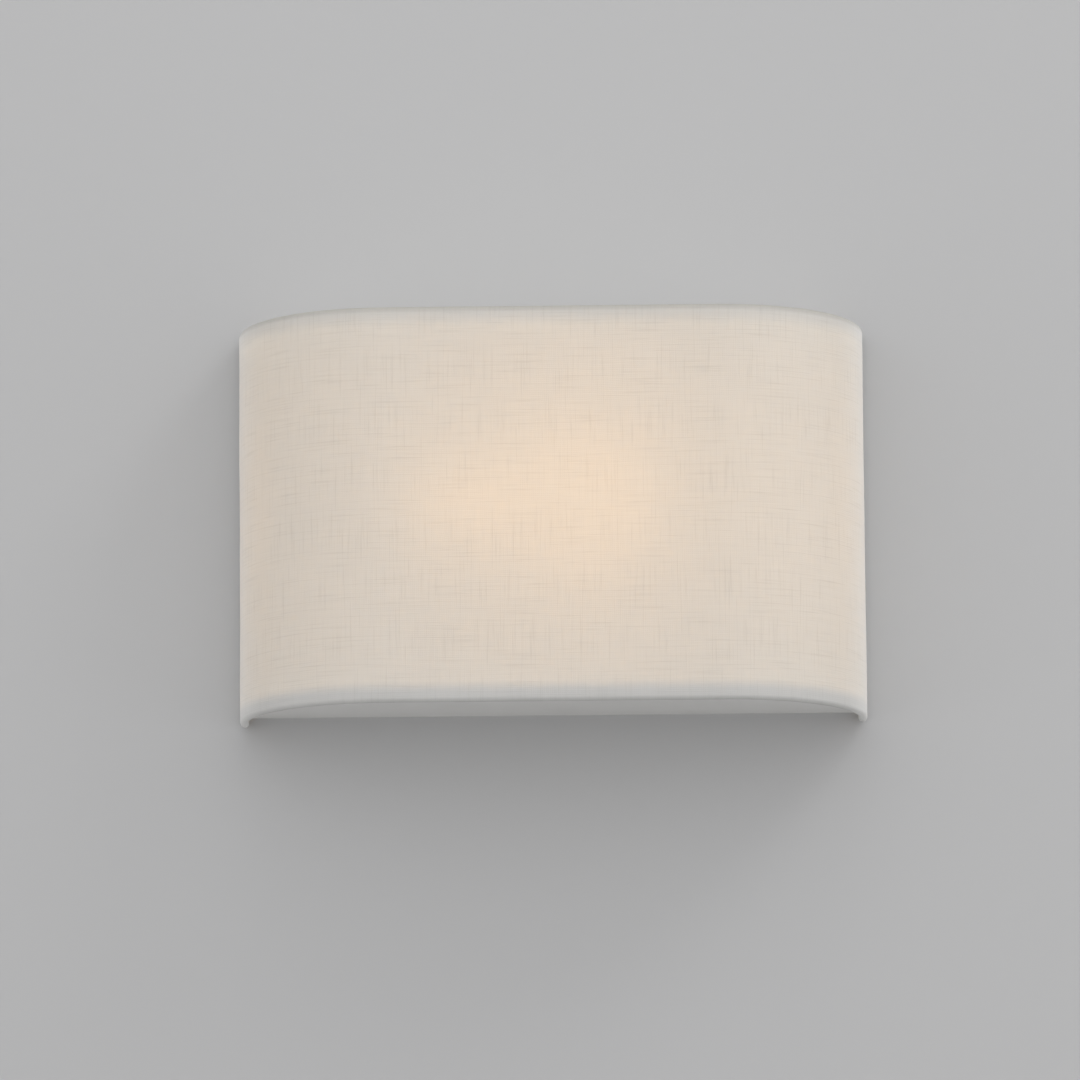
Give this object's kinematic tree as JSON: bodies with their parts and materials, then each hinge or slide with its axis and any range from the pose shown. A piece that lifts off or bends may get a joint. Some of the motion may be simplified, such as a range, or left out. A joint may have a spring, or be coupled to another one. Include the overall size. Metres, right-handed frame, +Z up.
{
  "type": "fabric shade wall light",
  "caption": "Shallow wall light: linen shade with a flat front and round corners, on a folded steel chassis with a screw-cap lamp inside.",
  "frame": {"origin": "on the wall plane, in the middle of the back plate's rear face, level with the middle of the shade", "axes": "+X to the right seen from the room, +Y into the wall, +Z up"},
  "size_m": [0.3, 0.078, 0.19],
  "materials": {
    "linen": "off-white plain-weave linen with slubs",
    "shade_film": "translucent white shade film",
    "white_coated_wire": "white powder coat",
    "white_powder_coat": "matt white powder coat",
    "zinc_plated_steel": "bright zinc plate",
    "nickel_plated_brass": "nickel plate",
    "brass": "plain brass",
    "tinned_copper": "tin plate",
    "grey_rubber": "moulded rubber",
    "white_thermoplastic": "moulded, satin",
    "clear_polyamide": "moulded, milky",
    "white_gloss_plastic": "moulded, glossy",
    "opal_polycarbonate": "opal, satin",
    "black_glass": "black insulating glass",
    "blue_insulation": "extruded insulation",
    "brown_insulation": "extruded insulation",
    "green_yellow_insulation": "extruded insulation, green and yellow"
  },
  "bodies": {
    "chassis": {"chassis": "white_powder_coat", "press_nuts": "zinc_plated_steel", "locating_studs": "zinc_plated_steel", "cable_grommet": "grey_rubber", "lampholder_bracket": "zinc_plated_steel", "bracket_studs": "zinc_plated_steel", "bracket_washers": "zinc_plated_steel", "bracket_nuts": "zinc_plated_steel", "lampholder_body": "white_thermoplastic", "lampholder_sleeve": "brass", "lampholder_contact": "brass", "lampholder_stem": "zinc_plated_steel", "lampholder_locknut": "zinc_plated_steel", "terminal_block": "clear_polyamide", "terminal_tubes": "brass", "terminal_screws": "zinc_plated_steel", "block_screw": "zinc_plated_steel", "earth_stud": "zinc_plated_steel", "earth_washer": "zinc_plated_steel", "earth_lug": "tinned_copper", "earth_nut": "brass", "neutral_wire": "blue_insulation", "live_wire": "brown_insulation", "earth_wire": "green_yellow_insulation"},
    "shade": {"shade_fabric": "linen", "shade_liner": "shade_film", "top_wire": "white_coated_wire", "bottom_wire": "white_coated_wire", "rear_uprights": "white_coated_wire", "top_tabs": "white_coated_wire", "bottom_tabs": "white_coated_wire"},
    "washer_left": {"thumb_washer_left": "zinc_plated_steel"},
    "screw_left": {"thumb_screw_left": "nickel_plated_brass"},
    "washer_right": {"thumb_washer_right": "zinc_plated_steel"},
    "screw_right": {"thumb_screw_right": "nickel_plated_brass"},
    "lamp_base": {"lamp_cap": "nickel_plated_brass", "lamp_insulator": "black_glass", "lamp_tip": "tinned_copper"},
    "lamp_bulb": {"lamp_housing": "white_gloss_plastic", "lamp_globe": "opal_polycarbonate"}
  },
  "joints": [
    {"name": "shade_lift_off", "type": "slide", "parent": "chassis", "child": "shade", "axis": [0, -1, 0], "range_m": [0, 0.09]},
    {"name": "screw_lift_left", "type": "slide", "parent": "chassis", "child": "washer_left", "axis": [0, 0, 1], "range_m": [0, 0.001]},
    {"name": "screw_turn_left", "type": "hinge", "parent": "washer_left", "child": "screw_left", "pos_m": [-0.06, -0.064, 0.095], "axis": [0, 0, 1], "range_deg": [0, 720]},
    {"name": "screw_lift_right", "type": "slide", "parent": "chassis", "child": "washer_right", "axis": [0, 0, 1], "range_m": [0, 0.001]},
    {"name": "screw_turn_right", "type": "hinge", "parent": "washer_right", "child": "screw_right", "pos_m": [0.06, -0.064, 0.095], "axis": [0, 0, 1], "range_deg": [0, 720]},
    {"name": "lamp_advance", "type": "slide", "parent": "chassis", "child": "lamp_base", "axis": [1, 0, 0], "range_m": [0, 0.00993]},
    {"name": "lamp_turn", "type": "hinge", "parent": "lamp_base", "child": "lamp_bulb", "pos_m": [0, -0.0396, 0], "axis": [1, 0, 0], "range_deg": [0, 1260]}
  ],
  "couplings": [
    {"joint": "screw_turn_left", "follows": "screw_lift_left", "rad_per_m": 12566},
    {"joint": "screw_turn_right", "follows": "screw_lift_right", "rad_per_m": 12566},
    {"joint": "lamp_advance", "follows": "lamp_turn", "m_per_rad": 0.00044914}
  ]
}
